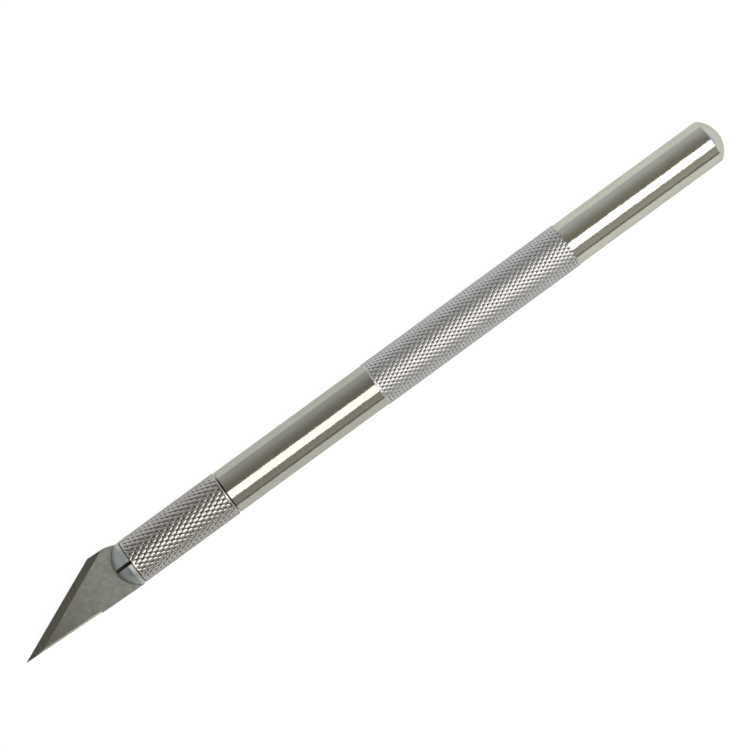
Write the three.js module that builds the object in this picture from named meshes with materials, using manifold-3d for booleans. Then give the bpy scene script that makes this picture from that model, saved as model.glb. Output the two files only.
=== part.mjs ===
// Hobby craft knife: a solid aluminium handle, a knurled clamping collar, a draw-in collet whose
// four sprung jaws hold the tang, and a pointed blade with a straight cutting edge.
//
// Millimetres, +Z up. The knife lies along X with its point towards +X, the flat sides of its
// blade facing up and down, its cutting edge on the -Y side and its spine on the +Y side.
// The origin is on the surface that the knife lies on, under the middle of its length.
//
// Each piece is drawn by station: its distance ahead of the collar's front rim, along the axis.

import * as THREE from "three";
import { mergeVertices } from "three/addons/utils/BufferGeometryUtils.js";
import Module from "manifold-3d";

const wasm = await Module();
wasm.setup();

// ---------------------------------------------------------------- driving dimensions

const INCH = 25.4;
const HANDLE_RADIUS = (5 / 32) * INCH;
const GRIPPED_LENGTH = 4.75 * INCH; // the handle and the collar together
const COLLAR_LENGTH = 19.3;
const HANDLE_LENGTH = GRIPPED_LENGTH - COLLAR_LENGTH;
const KNURL_RADIUS = HANDLE_RADIUS + 0.11; // rolling raises the knurled bands above the bar
const SEAM = 0.12; // gap between the collar and the handle
const CHAMFER = 0.15;

const GRIP_AHEAD = 30.5; // plain bar between the handle's front end and its knurled grip
const GRIP_LENGTH = 39.35;
const END_CAP_HEIGHT = 2.1; // the domed rear end

const THREAD_PITCH = INCH / 32;
const THREAD_RADIUS = 2.41; // outside radius of a 10-32 screw thread
const THREAD_DEPTH = 0.46;
const THREAD_CREST_WIDTH = 0.06;
const THREAD_CLEARANCE = 0.08;
const TAPPED_TURNS = [23, 34]; // whole turns behind the collar's rim, where the tap has cut
const SCREW_TURNS = [25, 32]; // the same for the collet's thread, when the knife is closed
const TAPPED_DEPTH = 8.6;
const DRILL_POINT = 1.2;
const COUNTERSINK = 0.6; // the chamfer round the tapped hole's mouth

const COLLAR_BORE_RADIUS = 3.35;
const COLLAR_MOUTH_RADIUS = 3.72;
const WEB_FRONT = -15.8; // the collar's keyed web, which makes the collet turn with the collar
const WEB_LENGTH = 1;
const KEY_CLEARANCE = 0.08;

const NOSE_RADIUS = 4.03;
const NOSE_STATION = 0.75; // the widest ring of the jaws, where their dome starts
const NOSE_LENGTH = 2.65;
const NOSE_BAND = 0.3; // the plain band behind that ring
const NECK_RADIUS = 2.95;
const CONE_REAR = -1.05; // where the clamping cone meets the neck
const JAW_ROOT = -15.2;
const FLEX_GAP = 0.3; // between each jaw's root and the shank that it springs from
const CROSS_SLOT = 0.57;
const KEY_HALF_WIDTH = 2.42; // half the distance across the shank's two flats
const KEY_REAR = -18.9;
const TAIL_END = -26;
const TAIL_CHAMFER = 0.4;

const BLADE_THICKNESS = 0.5;
const BLADE_GAP = 0.04; // between the clamped blade and each jaw
const TANG_HALF_WIDTH = 3.05;
const TANG_END = -14.4;
const TANG_CORNER = 0.6;
const TANG_STEP = 1; // length of the slope from the tang out to the blade's full width
const POINT = [24.05, 3.22];
const EDGE_HEEL = [5.78, -4.8]; // the rear end of the cutting edge
const SHOULDER = [2.5, -4.63];
const SHOULDER_FOOT = [0.9, -4.1];
const SPINE_HEEL = [0.5, 4.16];
const SPINE_STEP = [8.85, 3.95]; // the spine is ground back ahead of this corner
const SPINE_STEP_DEPTH = 0.15;
const EDGE_BEVEL_WIDTH = 1.4;
const EDGE_BEVEL_RUN_IN = 6; // how far behind the cutting edge's rear end its grind starts
const EDGE_LAND = 0.02; // thickness left along the cutting edge
const SPINE_BEVEL_WIDTH = 0.3;
const SPINE_BEVEL_DEPTH = 0.08;

const ROUND_SEGMENTS = 32;
const THREAD_STEPS_PER_TURN = 16;
const ARC_STEPS = 9;
const REACH = 10; // how far a cutting shape runs on past what it cuts, at the most
const BURIED = 0.1; // how deep a thread's ridge runs into the core that carries it

// ---------------------------------------------------------------- finishes

const polishedBar = new THREE.MeshStandardMaterial({
  color: 0xc4c3ba,
  roughness: 0.16,
  metalness: 1,
});
const brightKnurl = new THREE.MeshStandardMaterial({
  color: 0xb9b3aa,
  roughness: 0.2,
  metalness: 1,
});
const satinCollet = new THREE.MeshStandardMaterial({
  color: 0x9ca2a3,
  roughness: 0.38,
  metalness: 1,
});
const groundSteel = new THREE.MeshStandardMaterial({
  color: 0x7c7d76,
  roughness: 0.42,
  metalness: 1,
});

// ---------------------------------------------------------------- building blocks

// A closed geometry as a manifold-3d solid, ready to be cut or joined.
function solidOf(geometry) {
  const bare = geometry.index ? geometry.toNonIndexed() : geometry.clone();
  bare.deleteAttribute("normal");
  bare.deleteAttribute("uv");
  const merged = mergeVertices(bare);
  return new wasm.Manifold(
    new wasm.Mesh({
      numProp: 3,
      vertProperties: merged.attributes.position.array,
      triVerts: new Uint32Array(merged.index.array),
    }),
  );
}

// A solid back as a three.js mesh with crisp facets.
function meshOf(name, solid, material) {
  const made = solid.getMesh();
  const shared = new THREE.BufferGeometry()
    .setAttribute("position", new THREE.BufferAttribute(made.vertProperties, 3))
    .setIndex(new THREE.BufferAttribute(made.triVerts, 1));
  const geometry = shared.toNonIndexed();
  geometry.computeVertexNormals();
  const mesh = new THREE.Mesh(geometry, material);
  mesh.name = name;
  return mesh;
}

// A solid of revolution about the X axis, through [station, radius] points that run clockwise:
// forwards inside a bore, rearwards along the outside. It starts half a facet round, so that one
// flat facet faces straight down.
function turned(profile) {
  const points = profile.map(([station, radius]) => new THREE.Vector2(radius, station)).reverse();
  const lathe = new THREE.LatheGeometry(points, ROUND_SEGMENTS, Math.PI / ROUND_SEGMENTS);
  return solidOf(lathe.rotateZ(-Math.PI / 2));
}

function block(lengthX, lengthY, lengthZ, x, y, z) {
  return solidOf(new THREE.BoxGeometry(lengthX, lengthY, lengthZ).translate(x, y, z));
}

// A spherical cap as [station, radius] points, from its rim to its tip on the axis. side is 1 for
// a cap that faces forwards and -1 for one that faces back.
function capProfile(rimStation, rimRadius, height, side) {
  const sphereRadius = (height ** 2 + rimRadius ** 2) / (2 * height);
  const rimAngle = Math.asin(rimRadius / sphereRadius);
  const centre = rimStation + side * (height - sphereRadius);
  const points = [];
  for (let i = 0; i <= ARC_STEPS; i += 1) {
    const angle = rimAngle * (1 - i / ARC_STEPS);
    const radius = i === ARC_STEPS ? 0 : sphereRadius * Math.sin(angle);
    points.push([centre + side * sphereRadius * Math.cos(angle), radius]);
  }
  return points;
}

// A right-hand helix about the X axis, from one station to another. Its phase follows the
// station, so a screw and its tapped hole are in mesh wherever each of them starts.
class Helix extends THREE.Curve {
  constructor(radius, from, to) {
    super();
    Object.assign(this, { radius, from, to });
  }

  angleAt(station) {
    return (2 * Math.PI * station) / THREAD_PITCH;
  }

  getPoint(t, target = new THREE.Vector3()) {
    const station = this.from + (this.to - this.from) * t;
    const angle = this.angleAt(station);
    return target.set(station, this.radius * Math.cos(angle), this.radius * Math.sin(angle));
  }

  // The swept section's x always points straight out from the axis, so it doesn't twist.
  computeFrenetFrames(segments) {
    const frames = { tangents: [], normals: [], binormals: [] };
    for (let i = 0; i <= segments; i += 1) {
      const point = this.getPoint(i / segments);
      const normal = new THREE.Vector3(0, point.y, point.z).normalize();
      const around = new THREE.Vector3(1, 0, 0).cross(normal);
      const rise = THREAD_PITCH / (2 * Math.PI * this.radius);
      const tangent = around.add(new THREE.Vector3(rise, 0, 0)).normalize();
      frames.tangents.push(tangent);
      frames.normals.push(normal);
      frames.binormals.push(tangent.clone().cross(normal));
    }
    return frames;
  }
}

// The ridge of a screw thread between two whole turns, counted back from the collar's rim. Grown
// by a clearance it is the cutter for the tapped hole.
function threadRidge([frontTurn, rearTurn], clearance) {
  const root = THREAD_RADIUS - THREAD_DEPTH - BURIED;
  const crest = THREAD_RADIUS + clearance;
  const halfCrest = THREAD_CREST_WIDTH / 2;
  const halfBase = (crest - root) * Math.tan(Math.PI / 6) + halfCrest;
  const section = new THREE.Shape([
    new THREE.Vector2(root - THREAD_RADIUS, -halfBase),
    new THREE.Vector2(crest - THREAD_RADIUS, -halfCrest - clearance / 2),
    new THREE.Vector2(crest - THREAD_RADIUS, halfCrest + clearance / 2),
    new THREE.Vector2(root - THREAD_RADIUS, halfBase),
  ]);
  const path = new Helix(THREAD_RADIUS, -rearTurn * THREAD_PITCH, -frontTurn * THREAD_PITCH);
  const steps = (rearTurn - frontTurn) * THREAD_STEPS_PER_TURN;
  return solidOf(new THREE.ExtrudeGeometry(section, { extrudePath: path, steps }));
}

// A wedge that grinds one flat side of the blade down along a straight edge. The grind is `depth`
// deep at the edge and runs out `width` inside it. It starts `runIn` behind the point `rear`.
// side is 1 for the upper flat and -1 for the lower one; inward is 1 where the blade's metal lies
// to the left of the way from rear to front.
function grindWedge(rear, front, { width, depth, runIn, side, inward }) {
  const half = BLADE_THICKNESS / 2;
  const outside = 1;
  const slope = depth / width;
  const section = new THREE.Shape([
    new THREE.Vector2(width + outside, side * (half + slope * outside)),
    new THREE.Vector2(-outside, side * (half - depth - slope * outside)),
    new THREE.Vector2(-outside, side * (half + slope * outside)),
  ]);
  const start = new THREE.Vector3(...rear, 0);
  const along = new THREE.Vector3(...front, 0).sub(start).normalize();
  const length = 2 * start.distanceTo(new THREE.Vector3(...front, 0)) + runIn;
  const wedge = new THREE.ExtrudeGeometry(section, { depth: length, bevelEnabled: false });
  wedge.translate(0, 0, inward > 0 ? -runIn : runIn - length);
  const up = new THREE.Vector3(0, 0, 1);
  const inwards = up.clone().cross(along).multiplyScalar(inward);
  const place = new THREE.Matrix4().makeBasis(inwards, up, inwards.clone().cross(up));
  return solidOf(wedge.applyMatrix4(place.setPosition(start)));
}

// ---------------------------------------------------------------- handle

// A solid bar with a knurled grip, a domed rear end and a tapped hole in its front face.
function handle() {
  const front = -COLLAR_LENGTH - SEAM;
  const rear = -COLLAR_LENGTH - HANDLE_LENGTH;
  const gripFront = -COLLAR_LENGTH - GRIP_AHEAD;
  const gripRear = gripFront - GRIP_LENGTH;
  const hole = THREAD_RADIUS - THREAD_DEPTH + THREAD_CLEARANCE;
  const bar = turned([
    [front - TAPPED_DEPTH - DRILL_POINT, 0],
    [front - TAPPED_DEPTH, hole],
    [front - COUNTERSINK, hole],
    [front, hole + COUNTERSINK],
    [front, HANDLE_RADIUS - CHAMFER],
    [front - CHAMFER, HANDLE_RADIUS],
    [gripFront, HANDLE_RADIUS],
    [gripFront - CHAMFER, KNURL_RADIUS],
    [gripRear + CHAMFER, KNURL_RADIUS],
    [gripRear, HANDLE_RADIUS],
    ...capProfile(rear + END_CAP_HEIGHT, HANDLE_RADIUS, END_CAP_HEIGHT, -1),
  ]);
  const thread = threadRidge(TAPPED_TURNS, THREAD_CLEARANCE);
  return meshOf("handle", bar.subtract(thread), polishedBar);
}

// ---------------------------------------------------------------- collar

// A sleeve with a flared mouth that squeezes the jaws, and a keyed web round the collet's flats.
function collar() {
  const webRear = WEB_FRONT - WEB_LENGTH;
  const sleeve = turned([
    [WEB_FRONT, 0],
    [WEB_FRONT, COLLAR_BORE_RADIUS],
    [CONE_REAR, COLLAR_BORE_RADIUS],
    [0, COLLAR_MOUTH_RADIUS],
    [0, KNURL_RADIUS - CHAMFER],
    [-CHAMFER, KNURL_RADIUS],
    [-COLLAR_LENGTH + CHAMFER, KNURL_RADIUS],
    [-COLLAR_LENGTH, KNURL_RADIUS - CHAMFER],
    [-COLLAR_LENGTH, COLLAR_BORE_RADIUS],
    [webRear, COLLAR_BORE_RADIUS],
    [webRear, 0],
  ]);
  const keyhole = turned([
    [WEB_FRONT + WEB_LENGTH, 0],
    [WEB_FRONT + WEB_LENGTH, NECK_RADIUS + KEY_CLEARANCE],
    [webRear - WEB_LENGTH, NECK_RADIUS + KEY_CLEARANCE],
    [webRear - WEB_LENGTH, 0],
  ]);
  const flats = block(REACH, REACH, 2 * (KEY_HALF_WIDTH + KEY_CLEARANCE), WEB_FRONT, 0, 0);
  return meshOf("collar", sleeve.subtract(keyhole.intersect(flats)), brightKnurl);
}

// ---------------------------------------------------------------- collet

// The solid rear of the collet: a keyed shank between two flats, and a threaded tail.
function colletShank() {
  const core = THREAD_RADIUS - THREAD_DEPTH;
  const front = JAW_ROOT - FLEX_GAP;
  const shank = turned([
    [front, 0],
    [front, NECK_RADIUS],
    [KEY_REAR, NECK_RADIUS],
    [KEY_REAR, core],
    [TAIL_END + TAIL_CHAMFER, core],
    [TAIL_END, core - TAIL_CHAMFER],
    [TAIL_END, 0],
  ]);
  const flats = block(-2 * TAIL_END, REACH, 2 * KEY_HALF_WIDTH, TAIL_END, 0, 0);
  const tail = shank.intersect(flats).add(threadRidge(SCREW_TURNS, 0));
  return meshOf("collet_shank", tail, satinCollet);
}

// One of the four jaws: a quarter of the split nose, cone and neck. sideY and sideZ are 1 or -1.
function colletJaw(name, sideY, sideZ) {
  const whole = turned([
    ...capProfile(NOSE_STATION, NOSE_RADIUS, NOSE_LENGTH, 1).reverse(),
    [NOSE_STATION - NOSE_BAND, NOSE_RADIUS],
    [CONE_REAR, NECK_RADIUS],
    [JAW_ROOT, NECK_RADIUS],
    [JAW_ROOT, 0],
  ]);
  const centreY = sideY * (CROSS_SLOT / 2 + REACH / 2);
  const centreZ = sideZ * (BLADE_THICKNESS / 2 + BLADE_GAP + REACH / 2);
  const quarter = block(-4 * JAW_ROOT, REACH, REACH, 0, centreY, centreZ);
  return meshOf(name, whole.intersect(quarter), satinCollet);
}

// ---------------------------------------------------------------- blade

function bladeOutline() {
  const [stepX, stepY] = SPINE_STEP;
  return new THREE.Shape([
    new THREE.Vector2(...POINT),
    new THREE.Vector2(...spineCorner()),
    new THREE.Vector2(stepX, stepY),
    new THREE.Vector2(...SPINE_HEEL),
    new THREE.Vector2(SPINE_HEEL[0] - TANG_STEP, TANG_HALF_WIDTH),
    new THREE.Vector2(TANG_END + TANG_CORNER, TANG_HALF_WIDTH),
    new THREE.Vector2(TANG_END, TANG_HALF_WIDTH - TANG_CORNER),
    new THREE.Vector2(TANG_END, -TANG_HALF_WIDTH + TANG_CORNER),
    new THREE.Vector2(TANG_END + TANG_CORNER, -TANG_HALF_WIDTH),
    new THREE.Vector2(SHOULDER_FOOT[0] - TANG_STEP, -TANG_HALF_WIDTH),
    new THREE.Vector2(...SHOULDER_FOOT),
    new THREE.Vector2(...SHOULDER),
    new THREE.Vector2(...EDGE_HEEL),
  ]);
}

// The rear end of the spine's ground stretch, just ahead of its step.
function spineCorner() {
  return [SPINE_STEP[0] + SPINE_STEP_DEPTH, SPINE_STEP[1] - SPINE_STEP_DEPTH];
}

// The blade's flat sides carry a long grind to the cutting edge and a narrow one along the spine.
function blade() {
  const plate = new THREE.ExtrudeGeometry(bladeOutline(), {
    depth: BLADE_THICKNESS,
    bevelEnabled: false,
  });
  const edgeDepth = (BLADE_THICKNESS - EDGE_LAND) / 2;
  const edgeGrind = {
    width: EDGE_BEVEL_WIDTH,
    depth: edgeDepth,
    runIn: EDGE_BEVEL_RUN_IN,
    inward: 1,
  };
  const spineGrind = { width: SPINE_BEVEL_WIDTH, depth: SPINE_BEVEL_DEPTH, runIn: 0, inward: -1 };
  let solid = solidOf(plate.translate(0, 0, -BLADE_THICKNESS / 2));
  for (const side of [1, -1]) {
    solid = solid.subtract(grindWedge(EDGE_HEEL, POINT, { ...edgeGrind, side }));
    solid = solid.subtract(grindWedge(spineCorner(), POINT, { ...spineGrind, side }));
  }
  return meshOf("blade", solid, groundSteel);
}

// ---------------------------------------------------------------- the knife

const knife = new THREE.Group();
const rearStation = -COLLAR_LENGTH - HANDLE_LENGTH;
const restingHeight = KNURL_RADIUS * Math.cos(Math.PI / ROUND_SEGMENTS);
knife.position.set(-(POINT[0] + rearStation) / 2, 0, restingHeight);
knife.add(handle(), collar(), colletShank(), blade());
let jawNumber = 1;
for (const sideY of [1, -1]) {
  for (const sideZ of [1, -1]) {
    knife.add(colletJaw(`collet_jaw_${jawNumber}`, sideY, sideZ));
    jawNumber += 1;
  }
}

export default knife;
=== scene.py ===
"""Hobby craft knife lying on a pale table, seen from above: knurled handle and collar, split collet
head and pointed blade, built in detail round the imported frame. Lengths are in metres unless a
comment says millimetres. A station is how many millimetres a place is ahead of the collar's front
rim, and the knife points along +X with its cutting edge towards -Y."""

import math

import bpy
import numpy as np
from mathutils import Matrix, Vector


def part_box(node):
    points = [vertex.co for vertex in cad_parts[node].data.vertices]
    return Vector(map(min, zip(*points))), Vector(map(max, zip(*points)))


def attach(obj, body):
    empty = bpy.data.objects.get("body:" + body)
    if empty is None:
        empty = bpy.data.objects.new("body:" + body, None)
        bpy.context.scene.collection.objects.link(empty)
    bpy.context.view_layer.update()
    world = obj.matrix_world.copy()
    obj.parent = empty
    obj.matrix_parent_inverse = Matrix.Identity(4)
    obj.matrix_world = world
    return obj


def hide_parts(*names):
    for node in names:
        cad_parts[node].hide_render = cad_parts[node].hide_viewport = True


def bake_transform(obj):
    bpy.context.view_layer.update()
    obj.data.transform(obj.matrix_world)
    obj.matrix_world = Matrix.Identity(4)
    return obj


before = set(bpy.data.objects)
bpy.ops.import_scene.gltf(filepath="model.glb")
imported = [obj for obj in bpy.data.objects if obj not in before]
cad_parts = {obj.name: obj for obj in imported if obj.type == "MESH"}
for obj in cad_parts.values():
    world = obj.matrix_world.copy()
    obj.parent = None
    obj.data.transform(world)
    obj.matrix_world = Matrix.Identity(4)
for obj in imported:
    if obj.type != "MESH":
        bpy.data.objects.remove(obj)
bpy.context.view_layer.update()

MM = 0.001
INCH = 25.4  # millimetres

# ---------------------------------------------------------------- places, from the frame

RIM_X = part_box("collar")[1].x
COLLAR_REAR_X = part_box("collar")[0].x
SEAM_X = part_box("handle")[1].x
REAR_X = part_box("handle")[0].x
AXIS_Z = (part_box("collar")[0].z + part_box("collar")[1].z) / 2
KNURL_RADIUS = AXIS_Z  # the knurled bands lie on the floor
HANDLE_RADIUS = 5 / 32 * INCH * MM


def ahead(station):
    """The X of a station."""
    return RIM_X + station * MM


# ---------------------------------------------------------------- mesh building


def mesh_piece(name, vertices, faces, materials, face_material=None, smooth_angle=None):
    """A mesh object. Edges sharper than smooth_angle degrees stay crisp, and with no angle every
    face is flat."""
    mesh = bpy.data.meshes.new(name)
    mesh.from_pydata([tuple(v) for v in vertices], [], [tuple(f) for f in faces])
    for material in materials:
        mesh.materials.append(material)
    if face_material is not None:
        mesh.polygons.foreach_set("material_index", np.asarray(face_material, np.int32))
    mesh.validate()
    if smooth_angle is not None:
        mesh.polygons.foreach_set("use_smooth", [True] * len(mesh.polygons))
        mesh.set_sharp_from_angle(angle=math.radians(smooth_angle))
    mesh.update()
    piece = bpy.data.objects.new(name, mesh)
    bpy.context.scene.collection.objects.link(piece)
    return piece


def distance(index, period):
    """How far each index is from the nearest multiple of period."""
    rest = np.mod(index, period)
    return np.minimum(rest, period - rest)


def gathered(index, period, places):
    """Indices moved so that their steps lie at places, from a groove's middle, as shares of the
    way from each multiple of period to halfway to the next."""
    rest = np.mod(index, period)
    near = np.interp(distance(index, period), np.arange(len(places)), places) * period / 2
    return index - rest + np.where(rest <= period / 2, near, period - near)


def diamond_split(a, b, j, k, i, period):
    """Two triangles for a knurl's cell, split along the groove that it lies nearer to."""
    if distance(i + j + 1, period) < distance(j - i, period):
        return [(a + j, b + j, a + k), (b + j, b + k, a + k)]
    return [(a + j, b + j, b + k), (a + j, b + k, a + k)]


PIT_SHARE = 0.4  # of a groove's depth, that a pit goes below two crossing grooves
PIT_REACH = 3  # steps from the crossing to the pit's edge
THREAD_PITCH = INCH / 32 * MM
THREAD_FLAT = 0.12  # of the thread's slope, cut off at its root and at its crest


class Turned:
    """A surface of revolution about the knife's axis, made ring by ring. A ring's x, radius and
    angle may differ round the ring, and a radius of 0 is a pole."""

    def __init__(self, around):
        self.around = around
        self.theta = np.arange(around) * 2 * math.pi / around
        self.rings = []  # (points, material, knurl cell's step and period or None)

    def ring(self, x, radius, material=0, cell=None, theta=None):
        """Adds a ring. material and cell are for the faces between it and the ring before it."""
        if np.isscalar(radius) and radius == 0:
            points = [(x, 0, AXIS_Z)]
        else:
            theta = self.theta if theta is None else theta
            y = radius * np.cos(theta)
            z = AXIS_Z + radius * np.sin(theta)
            points = list(zip(np.broadcast_to(x, y.shape), y, z))
        self.rings.append((points, material, cell))
        return self

    def knurl(self, start, teeth, lead, steps, profile, top, fade):
        """A diamond knurl back from start: two families of helical grooves, whose diamonds are
        lead long. profile is (place, depth in millimetres) from a groove's middle at 0 to halfway
        to the next one at 1. Where two grooves cross, their depths add up and a pit goes deeper
        still. The grooves run out over fade steps at each end."""
        period = self.around // teeth
        column = np.arange(self.around)
        places, depths = zip(*profile)
        for i in range(steps + 1):
            share = min(1, i / fade, (steps - i) / fade)
            first = share * gathered(column + i, period, places) + (1 - share) * (column + i)
            second = share * gathered(column - i, period, places) + (1 - share) * (column - i)
            near = np.array([distance(column + i, period), distance(column - i, period)])
            depth = np.interp(near, np.arange(len(depths)), depths).sum(0)
            depth += depths[0] * PIT_SHARE * np.maximum(0, 1 - near.sum(0) / PIT_REACH)
            depth *= share * MM
            x = start - (first - second) / 2 * lead / period
            theta = (first + second) / 2 * 2 * math.pi / self.around
            self.ring(x, top - depth, 1, (i - 1, period) if i else None, theta)
        return self

    def thread(self, start, end, inner, outer, per_turn):
        """A right-hand screw thread from start to end, between the radii inner and outer, with
        per_turn rings to a turn. It runs out over one turn at each end."""
        count = round(abs(start - end) / THREAD_PITCH * per_turn)
        for i in range(count + 1):
            x = start + (end - start) * i / count
            phase = (x - RIM_X) / THREAD_PITCH - self.theta / (2 * math.pi)
            rise = 1 - 2 * np.abs(phase - np.round(phase))
            level = np.clip((rise - THREAD_FLAT) / (1 - 2 * THREAD_FLAT), 0, 1)
            share = min(1, i / per_turn, (count - i) / per_turn)
            self.ring(x, inner + (outer - inner) * (level * share))
        return self

    def cap(self, rim_x, rim_radius, height, side, rings=16):
        """A spherical cap from its rim to its pole. side is 1 forwards and -1 back."""
        sphere = (height ** 2 + rim_radius ** 2) / (2 * height)
        rim_angle = math.asin(rim_radius / sphere)
        for i in range(1, rings):
            angle = rim_angle * (1 - i / rings)
            rise = height - sphere + sphere * math.cos(angle)
            self.ring(rim_x + side * rise, sphere * math.sin(angle))
        return self.ring(rim_x + side * height, 0)

    def build(self, name, materials, smooth_angle, closed=False):
        """The piece, with its last ring joined to its first one if closed."""
        vertices, faces, kinds, starts = [], [], [], []
        for points, _, _ in self.rings:
            starts.append(len(vertices))
            vertices.extend(points)
        pairs = list(zip(range(len(self.rings) - 1), range(1, len(self.rings))))
        if closed:
            pairs.append((len(self.rings) - 1, 0))
        for low, high in pairs:
            points, material, cell = self.rings[high]
            a, b = starts[low], starts[high]
            for j in range(self.around):
                k = (j + 1) % self.around
                if len(self.rings[low][0]) == 1:
                    made = [(a, b + j, b + k)]
                elif len(points) == 1:
                    made = [(a + j, b, a + k)]
                elif cell is None:
                    made = [(a + j, b + j, b + k, a + k)]
                else:
                    made = diamond_split(a, b, j, k, *cell)
                faces.extend(made)
                kinds.extend([material] * len(made))
        return mesh_piece(name, vertices, faces, materials, kinds, smooth_angle)


# ---------------------------------------------------------------- nodes


class Nodes:
    """A node tree, with short names for what the finishes and the room need."""

    def __init__(self, tree):
        self.tree = tree

    def node(self, kind, **settings):
        made = self.tree.nodes.new(kind)
        for key, value in settings.items():
            setattr(made, key, value)
        return made

    def fill(self, socket, value):
        """Sets a socket to a constant or links it to another node's socket."""
        if isinstance(value, bpy.types.NodeSocket):
            self.tree.links.new(value, socket)
        else:
            socket.default_value = value

    def number(self, operation, *values):
        made = self.node("ShaderNodeMath", operation=operation)
        for socket, value in zip(made.inputs, values):
            self.fill(socket, value)
        return made.outputs[0]

    def ramp(self, value, *stops):
        """A colour ramp through stops, each a place and a colour or a grey level."""
        made = self.node("ShaderNodeValToRGB")
        elements = made.color_ramp.elements
        while len(elements) < len(stops):
            elements.new(0.5)
        for element, (place, colour) in zip(elements, stops):
            shade = colour if isinstance(colour, tuple) else (colour,) * 3
            element.position = place
            element.color = (*shade, 1)
        self.fill(made.inputs["Fac"], value)
        return made.outputs["Color"]

    def mix(self, share, first, second):
        """The colour first where share is 0, and second where it is 1."""
        made = self.node("ShaderNodeMix", data_type="RGBA")
        for socket, value in ((0, share), (6, first), (7, second)):
            self.fill(made.inputs[socket], (*value, 1) if isinstance(value, tuple) else value)
        return made.outputs[2]


EDGE_TINT = (0.74, 0.74, 0.7)  # what bare metal turns to at a glancing angle


class Shader(Nodes):
    """A material, with short names for what its finish needs."""

    def __init__(self, name, colour, metallic, roughness, edge_tint=EDGE_TINT):
        self.material = bpy.data.materials.new(name)
        self.material.use_nodes = True
        super().__init__(self.material.node_tree)
        self.surface = self.tree.nodes["Principled BSDF"]
        self.feed("Base Color", (*colour, 1))
        self.feed("Metallic", metallic)
        self.feed("Roughness", roughness)
        self.feed("Specular Tint", (*edge_tint, 1))

    def feed(self, socket, value):
        """Sets or links one of the surface's own sockets."""
        self.fill(self.surface.inputs[socket], value)

    def mapped(self, vector, setting, value):
        made = self.node("ShaderNodeMapping")
        made.inputs[setting].default_value = value
        self.fill(made.inputs["Vector"], vector)
        return made.outputs["Vector"]

    def place(self, scale=(1, 1, 1), turn=0, centre=None):
        """The place in millimetres, from the centre, turned about Z by degrees, then stretched."""
        vector = self.node("ShaderNodeTexCoord").outputs["Object"]
        if centre:
            vector = self.mapped(vector, "Location", [-c for c in centre])
        if turn:
            vector = self.mapped(vector, "Rotation", (0, 0, math.radians(turn)))
        return self.mapped(vector, "Scale", [s / MM for s in scale])

    def length(self, vector):
        made = self.node("ShaderNodeVectorMath", operation="LENGTH")
        self.fill(made.inputs[0], vector)
        return made.outputs["Value"]

    def ease(self, value, low, high):
        """0 below low and 1 above high, with a soft step between. low may be the larger."""
        made = self.node("ShaderNodeMapRange", interpolation_type="SMOOTHSTEP")
        self.fill(made.inputs["Value"], value)
        made.inputs["From Min"].default_value = low
        made.inputs["From Max"].default_value = high
        return made.outputs["Result"]

    def eased_along(self, first, second):
        """0 on the far side of station first and 1 on the far side of station second, with a
        soft step between them."""
        parts = self.node("ShaderNodeSeparateXYZ")
        self.fill(parts.inputs[0], self.place())
        return self.ease(parts.outputs["X"], ahead(first) / MM, ahead(second) / MM)

    def noise(self, vector, scale, detail=2, roughness=0.5):
        made = self.node("ShaderNodeTexNoise")
        made.inputs["Scale"].default_value = scale
        made.inputs["Detail"].default_value = detail
        made.inputs["Roughness"].default_value = roughness
        self.fill(made.inputs["Vector"], vector)
        return made.outputs["Fac"]

    def scaled(self, value, factor, offset=0.0):
        return self.number("MULTIPLY_ADD", value, factor, offset)

    def bump(self, height, strength, depth, below=None):
        """A bump depth millimetres high, on top of another bump if one is given."""
        made = self.node("ShaderNodeBump")
        made.inputs["Strength"].default_value = strength
        made.inputs["Distance"].default_value = depth * MM
        self.fill(made.inputs["Height"], height)
        if below:
            self.fill(made.inputs["Normal"], below)
        return made.outputs["Normal"]


# ---------------------------------------------------------------- materials


def polished_metal():
    """Bar stock polished by turning: faint rings round it, slow waves, specks and soft smudges.
    A painted shade makes it darker in front of the grip than behind it."""
    shader = Shader("polished_metal", (0.48, 0.48, 0.415), metallic=1, roughness=0.1)
    rings = shader.noise(shader.place((9, 0.1, 0.1)), scale=1, detail=4, roughness=0.7)
    waves = shader.noise(shader.place((1.4, 1.1, 1.1)), scale=1, detail=4, roughness=0.62)
    smudge = shader.noise(shader.place((0.25, 0.5, 0.5)), scale=1, detail=3)
    specks = shader.noise(shader.place(), scale=4.2, detail=1)
    tone = shader.ramp(smudge, (0.3, (0.46, 0.46, 0.4)), (0.7, (0.5, 0.5, 0.435)))
    speck = shader.ramp(specks, (0.78, 0), (0.83, 1))
    # painted shade: the bar's colour darkens in front of the grip
    front = shader.eased_along(-89, -50)
    tone = shader.mix(shader.scaled(front, 0.5), tone, (0.3, 0.295, 0.265))
    shader.feed("Base Color", shader.mix(speck, tone, (0.28, 0.27, 0.23)))
    shader.feed("Roughness", shader.scaled(smudge, 0.08, 0.06))
    soft = shader.bump(waves, strength=1, depth=0.02)
    shader.feed("Normal", shader.bump(rings, strength=0.5, depth=0.0012, below=soft))
    return shader.material


KNURL_EDGE_TINT = (0.42, 0.42, 0.4)
PIT_DIRT_AND_SHADE_DEPTH = 1.6  # grooves' depths below the knurl's top, where dirt and painted shade hide the metal


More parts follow.
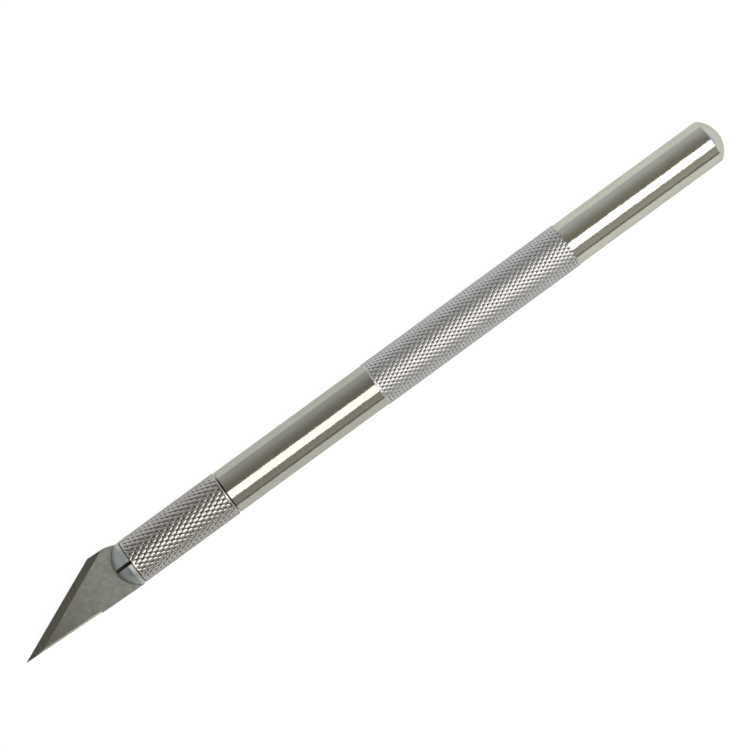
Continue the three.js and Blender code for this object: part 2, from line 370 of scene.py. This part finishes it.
def knurled_metal(name, low, high, pit, roughness, profile):
    """The same metal rolled into diamonds: patches from the colour low to high, dirt and painted
    shade of the colour pit down in the pits, and fine rolling marks."""
    shader = Shader(name, high, metallic=1, roughness=roughness, edge_tint=KNURL_EDGE_TINT)
    patches = shader.noise(shader.place((0.8, 0.8, 0.8)), scale=1, detail=3)
    grain = shader.noise(shader.place(), scale=9, detail=3)
    tone = shader.ramp(patches, (0.3, low), (0.7, high))
    out = shader.length(shader.place((0, 1, 1), centre=(0, 0, AXIS_Z)))
    top, groove = KNURL_RADIUS / MM, profile[0][1]
    # dirt and painted shade: darker the deeper the surface lies in the grooves and pits
    pit_dirt_and_shade = shader.ease(out, top - groove, top - PIT_DIRT_AND_SHADE_DEPTH * groove)
    shader.feed("Base Color", shader.mix(pit_dirt_and_shade, tone, pit))
    shader.feed("Roughness", shader.scaled(grain, 0.12, roughness - 0.06))
    shader.feed("Normal", shader.bump(grain, strength=0.6, depth=0.01))
    return shader.material


def satin_metal():
    """The collet: turned, then tumbled to a cool satin, and brighter behind its dome."""
    shader = Shader("satin_metal", (0.56, 0.6, 0.6), metallic=1, roughness=0.4)
    grain = shader.noise(shader.place(), scale=12, detail=3)
    cloud = shader.noise(shader.place(), scale=0.7)
    rings = shader.noise(shader.place((8, 0.1, 0.1)), scale=1, detail=3)
    ring = shader.eased_along(NOSE_STATION + 0.01, NOSE_STATION - 0.05)
    tone = shader.ramp(cloud, (0.3, (0.3, 0.325, 0.315)), (0.7, (0.36, 0.385, 0.385)))
    shader.feed("Base Color", shader.mix(ring, tone, (0.48, 0.505, 0.462)))
    shader.feed("Roughness", shader.ramp(grain, (0.3, 0.5), (0.7, 0.6)))
    low = shader.bump(rings, strength=0.5, depth=0.003)
    shader.feed("Normal", shader.bump(grain, strength=0.6, depth=0.006, below=low))
    return shader.material


def painted_slot_shade():
    """The cross slot's sawn walls, painted near-black as the shade down in the slot."""
    # painted shade: the walls' near-black colour stands for the slot's shade
    shader = Shader("slot_walls_painted_shade", (0.05, 0.045, 0.04), metallic=0.3, roughness=0.6)
    grain = shader.noise(shader.place((2, 8, 8)), scale=1, detail=3)
    tone = shader.ramp(grain, (0.3, (0.03, 0.026, 0.022)), (0.7, (0.08, 0.07, 0.06)))
    shader.feed("Base Color", tone)
    shader.feed("Normal", shader.bump(grain, strength=0.5, depth=0.01))
    return shader.material


def slot_shadow_share(shader):
    """1 on the blade under the collet's slot, where the slot's shadow is painted, and 0 elsewhere.
    """
    across = shader.place((1, 1, 0), centre=(ahead(SPHERE_STATION), 0, 0))
    under = shader.ease(shader.length(across), SPHERE_MM + 0.14, SPHERE_MM - 0.3)
    beside = shader.ease(shader.length(shader.place((0, 1, 0))), 0.6, 0.3)
    return shader.scaled(under, beside)


def blade_steel():
    """Rolled strip: matte grey with a fine grain along it, pale nicks and smears, a painted shade
    that darkens its front half, and a dark line of painted shadow under the collet's slot."""
    shader = Shader("blade_steel", (0.42, 0.42, 0.39), metallic=1, roughness=0.4)
    grain = shader.noise(shader.place((0.9, 5, 5)), scale=1, detail=4, roughness=0.65)
    mottle = shader.noise(shader.place((0.8, 1.2, 1)), scale=1.1, detail=5, roughness=0.7)
    nicks = shader.noise(shader.place((1.1, 2.2, 1)), scale=1.6)
    tone = shader.ramp(mottle, (0.3, (0.208, 0.22, 0.198)), (0.7, (0.312, 0.328, 0.298)))
    nick = shader.ramp(nicks, (0.66, 0), (0.74, 0.5))
    # painted shade: the face darkens from station 4 to 20, towards the point
    front_shade = shader.eased_along(4, 20)
    front_shaded = shader.mix(shader.scaled(front_shade, 0.9), tone, (0.15, 0.15, 0.13))
    smears = shader.noise(shader.place((0.55, 1.3, 1), turn=12), scale=1.3, detail=4, roughness=0.6)
    smear = shader.ramp(smears, (0.6, 0), (0.72, 0.45))
    smeared = shader.mix(smear, front_shaded, (0.395, 0.415, 0.385))
    marked = shader.mix(nick, smeared, (0.56, 0.58, 0.545))
    # painted shadow: the dark colour under the collet's slot stands for the slot's shade
    shader.feed("Base Color", shader.mix(slot_shadow_share(shader), marked, (0.07, 0.065, 0.055)))
    shader.feed("Roughness", shader.ramp(grain, (0.3, 0.34), (0.7, 0.46)))
    shader.feed("Normal", shader.bump(grain, strength=0.8, depth=0.006))
    return shader.material


def ground_steel(slant):
    """The blade's grinds: darker, with fine lines across the edge, slant degrees round."""
    shader = Shader("ground_steel", (0.36, 0.36, 0.32), metallic=1, roughness=0.3)
    place = shader.place((6, 0.25, 0.25), turn=slant)
    lines = shader.noise(place, scale=1, detail=4, roughness=0.7)
    tone = shader.ramp(lines, (0.3, (0.26, 0.265, 0.23)), (0.7, (0.36, 0.365, 0.32)))
    shader.feed("Base Color", tone)
    shader.feed("Roughness", shader.ramp(lines, (0.3, 0.26), (0.7, 0.36)))
    shader.feed("Normal", shader.bump(lines, strength=0.8, depth=0.008))
    return shader.material


FLOOR_GLOW = 0.9  # evens out the light that the knife takes from the floor


def white_floor():
    shader = Shader("floor_paint", (0.2, 0.2, 0.2), metallic=0, roughness=0.7)
    shader.feed("Specular IOR Level", 0.1)
    shader.feed("Emission Color", (1, 1, 1, 1))
    shader.feed("Emission Strength", FLOOR_GLOW)
    return shader.material


# ---------------------------------------------------------------- handle

GRIP_TEETH = 32
GRIP_LEAD = 1.3 * MM
GRIP_STEPS = 8  # per diamond
GRIP_PROFILE = ((0, 0.042), (0.17, 0.032), (0.42, 0.0105), (0.7, 0.002), (1, 0))
GRIP_FADE = 1.5  # steps over which the grooves run out
GRIP_AHEAD = 30.5 * MM  # from the grip to the collar
GRIP_LENGTH = 39.35 * MM
GRIP_SHOULDER = 0.03 * MM  # length of the small slope at each end of the grip
CAP_HEIGHT = 2.1 * MM
BAR_CHAMFER = 0.12 * MM
HOLE_RADIUS = 2.05 * MM
HOLE_THREAD_RADIUS = 2.48 * MM
HOLE_POINT = 9.7 * MM  # depths from the handle's front face
HOLE_DEPTH = 8.5 * MM
HOLE_THREAD_END = 8.3 * MM
HOLE_THREAD_START = 0.7 * MM
COUNTERSINK = 0.6 * MM


def make_handle(polished, knurled):
    bar = Turned(GRIP_TEETH * GRIP_STEPS)
    bar.ring(SEAM_X - HOLE_POINT, 0).ring(SEAM_X - HOLE_DEPTH, HOLE_RADIUS)
    deep, shallow = SEAM_X - HOLE_THREAD_END, SEAM_X - HOLE_THREAD_START
    bar.thread(deep, shallow, HOLE_RADIUS, HOLE_THREAD_RADIUS, per_turn=5)
    bar.ring(SEAM_X - COUNTERSINK, HOLE_RADIUS).ring(SEAM_X, HOLE_RADIUS + COUNTERSINK)
    bar.ring(SEAM_X, HANDLE_RADIUS - BAR_CHAMFER).ring(SEAM_X - BAR_CHAMFER, HANDLE_RADIUS)
    front = COLLAR_REAR_X - GRIP_AHEAD
    steps = round(GRIP_LENGTH / GRIP_LEAD * GRIP_STEPS)
    rear = front - steps * GRIP_LEAD / GRIP_STEPS
    bar.ring(front + GRIP_SHOULDER, HANDLE_RADIUS)
    bar.knurl(front, GRIP_TEETH, GRIP_LEAD, steps, GRIP_PROFILE, KNURL_RADIUS, GRIP_FADE)
    bar.ring(rear - GRIP_SHOULDER, HANDLE_RADIUS, 1)
    bar.ring(REAR_X + CAP_HEIGHT, HANDLE_RADIUS)
    bar.cap(REAR_X + CAP_HEIGHT, HANDLE_RADIUS, CAP_HEIGHT, side=-1)
    piece = bar.build("handle_body", [polished, knurled], smooth_angle=26)
    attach(piece, "handle")
    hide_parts("handle")


# ---------------------------------------------------------------- collar

COLLAR_TEETH = 27
COLLAR_LEAD = 1.648 * MM
COLLAR_STEPS = 12  # per diamond
COLLAR_PROFILE = (
    (0, 0.058), (0.1, 0.052), (0.23, 0.033), (0.38, 0.016), (0.56, 0.006), (0.77, 0.0013), (1, 0)
)
COLLAR_FADE = 2  # steps over which the grooves run out
COLLAR_EDGE = 0.12 * MM  # width of the plain band at each rim
COLLAR_LIP = KNURL_RADIUS - 0.04 * MM  # the plain band's radius
COLLAR_CHAMFER = 0.1 * MM
COLLAR_BORE = 3.35 * MM
MOUTH_RADIUS = 3.72 * MM  # of the flared mouth at the rim
MOUTH_STATION = -1.05  # where the mouth's cone ends in the bore
KEY_STATIONS = (-16.8, -15.8)  # the keyed web's rear and front
KEY_RADIUS = 3.03 * MM
KEY_HALF_WIDTH = 2.5 * MM


def keyed(radius, half_width, theta):
    """A circle with two flats square to Z, as radii at the angles theta."""
    sine = np.maximum(np.abs(np.sin(theta)), 1e-6)  # never 0, because it divides
    return np.minimum(radius, half_width / sine)


def make_collar(plain, knurled):
    sleeve = Turned(COLLAR_TEETH * COLLAR_STEPS)
    step = COLLAR_LEAD / COLLAR_STEPS
    steps = math.floor((RIM_X - COLLAR_REAR_X - 2 * COLLAR_EDGE) / step)
    key = keyed(KEY_RADIUS, KEY_HALF_WIDTH, sleeve.theta)
    web_rear, web_front = (ahead(station) for station in KEY_STATIONS)
    sleeve.ring(RIM_X, MOUTH_RADIUS).ring(RIM_X, COLLAR_LIP - COLLAR_CHAMFER)
    sleeve.ring(RIM_X - COLLAR_CHAMFER, COLLAR_LIP, 1)
    front = RIM_X - COLLAR_EDGE
    sleeve.knurl(front, COLLAR_TEETH, COLLAR_LEAD, steps, COLLAR_PROFILE, KNURL_RADIUS, COLLAR_FADE)
    sleeve.ring(COLLAR_REAR_X + COLLAR_CHAMFER, COLLAR_LIP, 1)
    sleeve.ring(COLLAR_REAR_X, COLLAR_LIP - COLLAR_CHAMFER, 1)
    sleeve.ring(COLLAR_REAR_X, COLLAR_BORE)
    sleeve.ring(web_rear, COLLAR_BORE).ring(web_rear, key)
    sleeve.ring(web_front, key).ring(web_front, COLLAR_BORE)
    sleeve.ring(ahead(MOUTH_STATION), COLLAR_BORE)
    piece = sleeve.build("collar_body", [plain, knurled], smooth_angle=26, closed=True)
    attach(piece, "collar")
    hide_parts("collar")


# ---------------------------------------------------------------- collet

NOSE_RADIUS = 4.03 * MM
NOSE_STATION = 0.75  # where the dome starts, in front of the ring
NOSE_LENGTH = 2.55
SPHERE_MM = (NOSE_LENGTH ** 2 + (NOSE_RADIUS / MM) ** 2) / (2 * NOSE_LENGTH)
SPHERE_STATION = NOSE_STATION + NOSE_LENGTH - SPHERE_MM
NOSE_ROWS = 20
RING_REAR = ((0.12, NOSE_RADIUS - 0.01 * MM), (0.05, NOSE_RADIUS - 0.08 * MM))  # station, radius
CONE_FRONT = (0.04, 3.69 * MM)  # station, radius
NECK_RADIUS = 2.95 * MM
NECK_LENGTH = 14.45
NECK_ROWS = 16
JAW_COLUMNS = 16
SLOT_HALF_Y = 0.285 * MM
SLOT_HALF_Z = 0.29 * MM
SLOT_CHAMFER = 0.06 * MM
STEM_COLUMNS = 96
STEM_FRONT, STEM_SHOULDER, STEM_REAR = -15.5, -18.9, -26
STEM_THREAD = (-19.4, -25.6)
STEM_FLATS = 2.42 * MM
STEM_CORE = 1.95 * MM
STEM_THREAD_RADIUS = 2.4 * MM
STEM_CHAMFER = 0.4 * MM


def jaw_profile():
    """(station, radius) from the nose's tip back along a jaw to its root."""
    sphere = SPHERE_MM * MM
    tip_radius = math.hypot(SLOT_HALF_Y, SLOT_HALF_Z) + 2 * SLOT_CHAMFER
    low, high = math.asin(tip_radius / sphere), math.asin(NOSE_RADIUS / sphere)
    points = []
    for i in range(NOSE_ROWS + 1):
        angle = low + (high - low) * i / NOSE_ROWS
        points.append((SPHERE_STATION + SPHERE_MM * math.cos(angle), sphere * math.sin(angle)))
    points.extend([*RING_REAR, CONE_FRONT])
    for i in range(NECK_ROWS + 1):
        points.append((MOUTH_STATION - NECK_LENGTH * i / NECK_ROWS, NECK_RADIUS))
    return points


def make_jaw(number, side_y, side_z, skin, walls):
    """A quarter of the collet's split nose and neck: its outer skin, its slot walls, and the
    broken edges between them."""
    rows = []
    for station, radius in jaw_profile():
        x = ahead(station)
        low = math.asin(SLOT_HALF_Z / radius) + SLOT_CHAMFER / radius
        high = math.pi / 2 - math.asin(SLOT_HALF_Y / radius) - SLOT_CHAMFER / radius
        inner = radius - SLOT_CHAMFER
        row = [(x, SLOT_HALF_Y, SLOT_HALF_Z)]
        row.append((x, math.sqrt(inner ** 2 - SLOT_HALF_Z ** 2), SLOT_HALF_Z))
        for i in range(JAW_COLUMNS + 1):
            angle = low + (high - low) * i / JAW_COLUMNS
            row.append((x, radius * math.cos(angle), radius * math.sin(angle)))
        row.append((x, SLOT_HALF_Y, math.sqrt(inner ** 2 - SLOT_HALF_Y ** 2)))
        rows.append(row)
    width = len(rows[0])
    vertices = [(x, side_y * y, AXIS_Z + side_z * z) for row in rows for x, y, z in row]
    faces = [tuple(range(width)), tuple(reversed(range(len(vertices) - width, len(vertices))))]
    kinds = [0, 0]
    for i in range(len(rows) - 1):
        for j in range(width):
            k = (j + 1) % width
            a, b = i * width, (i + 1) * width
            faces.append((a + j, b + j, b + k, a + k))
            kinds.append(1 if j in (0, width - 1) else 0)
    if side_y * side_z < 0:
        faces = [tuple(reversed(face)) for face in faces]
    name = f"collet_finger_{number}"
    piece = mesh_piece(name, vertices, faces, [skin, walls], kinds, smooth_angle=20)
    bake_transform(piece)
    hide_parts(f"collet_jaw_{number}")


def make_collet(skin, walls):
    sides = [(side_y, side_z) for side_y in (1, -1) for side_z in (1, -1)]
    for number, (side_y, side_z) in enumerate(sides, 1):
        make_jaw(number, side_y, side_z, skin, walls)
    stem = Turned(STEM_COLUMNS)
    flats = keyed(NECK_RADIUS, STEM_FLATS, stem.theta)
    stem.ring(ahead(STEM_FRONT), 0).ring(ahead(STEM_FRONT), flats)
    stem.ring(ahead(STEM_SHOULDER), flats).ring(ahead(STEM_SHOULDER), STEM_CORE)
    front, rear = (ahead(station) for station in STEM_THREAD)
    stem.thread(front, rear, STEM_CORE, STEM_THREAD_RADIUS, per_turn=8)
    stem.ring(ahead(STEM_REAR), STEM_CORE - STEM_CHAMFER).ring(ahead(STEM_REAR), 0)
    piece = stem.build("collet_stem", [skin], smooth_angle=34)
    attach(piece, "collet")
    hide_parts("collet_shank")


# ---------------------------------------------------------------- blade

HALF = 0.25  # half the blade's thickness, in millimetres
THIN = 0.012  # the same at the cutting edge
RELIEF = 0.17  # the same at the spine's ground corner
CORNERS = {  # on one side: (station, y, half thickness) in millimetres
    "point": (24.05, 3.22, THIN),
    "spine_front": (22.4, 3.29, RELIEF),
    "spine_rear": (9.0, 3.8, RELIEF),
    "step": (8.85, 3.95, HALF),
    "spine_heel": (0.5, 4.16, HALF),
    "neck_1": (-0.5, 3.05, HALF),
    "tang_1": (-13.8, 3.05, HALF),
    "tang_2": (-14.4, 2.45, HALF),
    "tang_3": (-14.4, -2.45, HALF),
    "tang_4": (-13.8, -3.05, HALF),
    "neck_2": (-0.1, -3.05, HALF),
    "shoulder_foot": (0.9, -4.1, HALF),
    "shoulder": (2.5, -4.63, HALF),
    "grind_heel": (2.95, -4.655, HALF),
    "edge_heel": (5.78, -4.8, THIN),
    "edge_foot": (21.0, 1.88, THIN),
    "grind_front": (20.4, 3.1, HALF),
    "spine_inner": (8.98, 3.5, HALF),
}
OUTLINE = (
    "point spine_front spine_rear step spine_heel neck_1 tang_1 tang_2 tang_3 tang_4 neck_2 "
    "shoulder_foot shoulder grind_heel edge_heel edge_foot"
).split()
FLAT, GROUND, BRIGHT = range(3)  # the blade's materials
FACETS = (
    (FLAT, "grind_front spine_inner step spine_heel neck_1 tang_1 tang_2 tang_3 tang_4 neck_2 "
           "shoulder_foot shoulder grind_heel"),
    (BRIGHT, "spine_inner grind_front spine_front spine_rear"),
    (BRIGHT, "step spine_inner spine_rear"),
    (GROUND, "edge_foot spine_front grind_front"),
    (GROUND, "edge_foot point spine_front"),
    (GROUND, "grind_heel edge_heel edge_foot grind_front"),
)
CUTTING_EDGE = ("grind_heel", "edge_heel", "edge_foot")  # where the outline's ground sides start


def make_blade(flat, ground, bright):
    place = {name: i for i, name in enumerate(CORNERS)}
    below = len(CORNERS)
    vertices = [
        (ahead(station), y * MM, AXIS_Z + side * half * MM)
        for side in (1, -1)
        for station, y, half in CORNERS.values()
    ]
    faces, kinds = [], []
    for kind, names in FACETS:
        top = [place[name] for name in names.split()]
        faces.extend([tuple(top), tuple(reversed([v + below for v in top]))])
        kinds.extend([kind, kind])
    for first, second in zip(OUTLINE, OUTLINE[1:] + OUTLINE[:1]):
        a, b = place[first], place[second]
        faces.append((a, a + below, b + below, b))
        kinds.append(GROUND if first in CUTTING_EDGE else BRIGHT)
    piece = mesh_piece("blade_strip", vertices, faces, [flat, ground, bright], kinds)
    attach(piece, "blade")
    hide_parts("blade")


# ---------------------------------------------------------------- floor, light and camera

LOOK_AT = (ahead(-50.76), -1.3 * MM, AXIS_Z)
CAMERA_DISTANCE = 0.65
LENS = 187.9  # millimetres
TILT = 1.4  # degrees that the camera stands towards the blade's end
ROLL = 2.0  # degrees that it stands towards the blade's spine
AXIS_SLOPE = 36.12  # degrees that the knife's axis makes with the picture's bottom edge


def make_camera():
    back = Vector((math.tan(math.radians(TILT)), math.tan(math.radians(ROLL)), 1)).normalized()
    forward = Vector((1, 0, 0))
    forward = (forward - back * forward.dot(back)).normalized()
    across = back.cross(forward)
    run, rise = math.cos(math.radians(AXIS_SLOPE)), math.sin(math.radians(AXIS_SLOPE))
    right = -run * forward + rise * across
    up = -rise * forward - run * across
    camera = bpy.data.cameras.new("camera")
    camera.lens = LENS
    camera.clip_end = 10
    holder = bpy.data.objects.new("camera", camera)
    place = Matrix((right, up, back)).transposed().to_4x4()
    place.translation = Vector(LOOK_AT) + back * CAMERA_DISTANCE
    holder.matrix_world = place
    bpy.context.scene.collection.objects.link(holder)
    bpy.context.scene.camera = holder


FLOOR_HALF = 4


def make_floor():
    corners = [
        (side_x * FLOOR_HALF, side_y * FLOOR_HALF, 0)
        for side_x, side_y in ((-1, -1), (1, -1), (1, 1), (-1, 1))
    ]
    mesh_piece("floor", corners, [(0, 1, 2, 3)], [white_floor()])


SOFTBOX_HEIGHT = 1.25
SOFTBOX_ANGLES = (2, 39)  # degrees from straight up, towards +Y
SOFTBOX_ENDS = (-45, 9)  # degrees from straight up, towards +X
SOFTBOX_RADIANCE = 2.6
SOFTBOX_COLOUR = (1, 0.955, 0.94)


def make_lights():
    near, far = (SOFTBOX_HEIGHT * math.tan(math.radians(a)) for a in SOFTBOX_ANGLES)
    rear, front = (SOFTBOX_HEIGHT * math.tan(math.radians(a)) for a in SOFTBOX_ENDS)
    light = bpy.data.lights.new("softbox", "AREA")
    light.shape = "RECTANGLE"
    light.color = SOFTBOX_COLOUR
    light.size = front - rear
    light.size_y = far - near
    light.energy = SOFTBOX_RADIANCE * math.pi * light.size * light.size_y
    holder = bpy.data.objects.new("softbox", light)
    holder.location = ((rear + front) / 2, (near + far) / 2, SOFTBOX_HEIGHT)
    bpy.context.scene.collection.objects.link(holder)


# the room's light by the angle from straight up, towards +Y, in degrees
ROOM = (
    (-180, (0.6, 0.6, 0.57)),
    (-91, (0.93, 0.93, 0.91)),
    (-80, (0.7, 0.7, 0.74)),
    (-65, (0.66, 0.66, 0.69)),
    (-40, (0.43, 0.42, 0.4)),
    (-20, (0.31, 0.295, 0.26)),
    (-2, (0.29, 0.27, 0.235)),
    (40, (0.46, 0.45, 0.41)),
    (76, (0.56, 0.54, 0.5)),
    (78.5, (0.24, 0.22, 0.2)),
    (85, (0.26, 0.24, 0.22)),
    (89, (0.6, 0.6, 0.57)),
)
# the room's light beyond the knife's ends, and how far it takes over, by the sine towards +X
ENDS = (
    (-1, (0.85, 0.9, 1)),
    (-0.2, (0.75, 0.74, 0.72)),
    (0.2, (0.09, 0.075, 0.06)),
    (0.6, (0.12, 0.11, 0.1)),
    (0.85, (0.32, 0.33, 0.32)),
)
END_SHARE = ((-0.5, 0.9), (-0.15, 0), (-0.07, 0), (0.02, 0.18), (0.2, 1))
FRONT_CARD = (0.9, -0.35, 0.25)  # the direction of a pale card's middle
CARD_EDGE = ((0.85, 0), (0.97, 1))  # by the cosine from its middle
CARD_COLOUR = (1.3, 1.38, 1.4)


def make_room():
    """Soft bands of light along the knife, a plainer light beyond each of its ends, and a pale
    card in front of the collet."""
    world = bpy.data.worlds.new("room")
    bpy.context.scene.world = world
    world.use_nodes = True
    room = Nodes(world.node_tree)
    sky = room.node("ShaderNodeTexCoord").outputs["Generated"]
    parts = room.node("ShaderNodeSeparateXYZ")
    room.fill(parts.inputs[0], sky)
    angle = room.number("ARCTAN2", parts.outputs["Y"], parts.outputs["Z"])
    turn = room.number("MULTIPLY_ADD", angle, 1 / (2 * math.pi), 0.5)
    bands = room.ramp(turn, *((degrees / 360 + 0.5, shade) for degrees, shade in ROOM))
    along = room.number("MULTIPLY_ADD", parts.outputs["X"], 0.5, 0.5)
    ends = room.ramp(along, *((sine / 2 + 0.5, shade) for sine, shade in ENDS))
    share = room.ramp(along, *((sine / 2 + 0.5, level) for sine, level in END_SHARE))
    mixed = room.mix(share, bands, ends)
    card = room.node("ShaderNodeVectorMath", operation="DOT_PRODUCT")
    card.inputs[1].default_value = Vector(FRONT_CARD).normalized()
    room.fill(card.inputs[0], sky)
    reach = room.ramp(card.outputs["Value"], *CARD_EDGE)
    lit = room.mix(reach, mixed, CARD_COLOUR)
    room.fill(room.tree.nodes["Background"].inputs["Color"], lit)


# ---------------------------------------------------------------- the scene

make_camera()
make_floor()
make_lights()
make_room()
bpy.context.scene.view_settings.view_transform = "Standard"

POLISHED = polished_metal()
GRIP_KNURL = knurled_metal(
    "grip_knurl",
    low=(0.51, 0.515, 0.505),
    high=(0.58, 0.585, 0.575),
    pit=(0.07, 0.065, 0.06),
    roughness=0.37,
    profile=GRIP_PROFILE,
)
COLLAR_KNURL = knurled_metal(
    "collar_knurl",
    low=(0.415, 0.405, 0.38),
    high=(0.475, 0.465, 0.44),
    pit=(0.05, 0.035, 0.02),
    roughness=0.25,
    profile=COLLAR_PROFILE,
)
EDGE_SLANT = 23.7  # degrees that the cutting edge makes with the axis
make_handle(POLISHED, GRIP_KNURL)
make_collar(POLISHED, COLLAR_KNURL)
make_collet(satin_metal(), painted_slot_shade())
make_blade(blade_steel(), ground_steel(EDGE_SLANT), ground_steel(0))
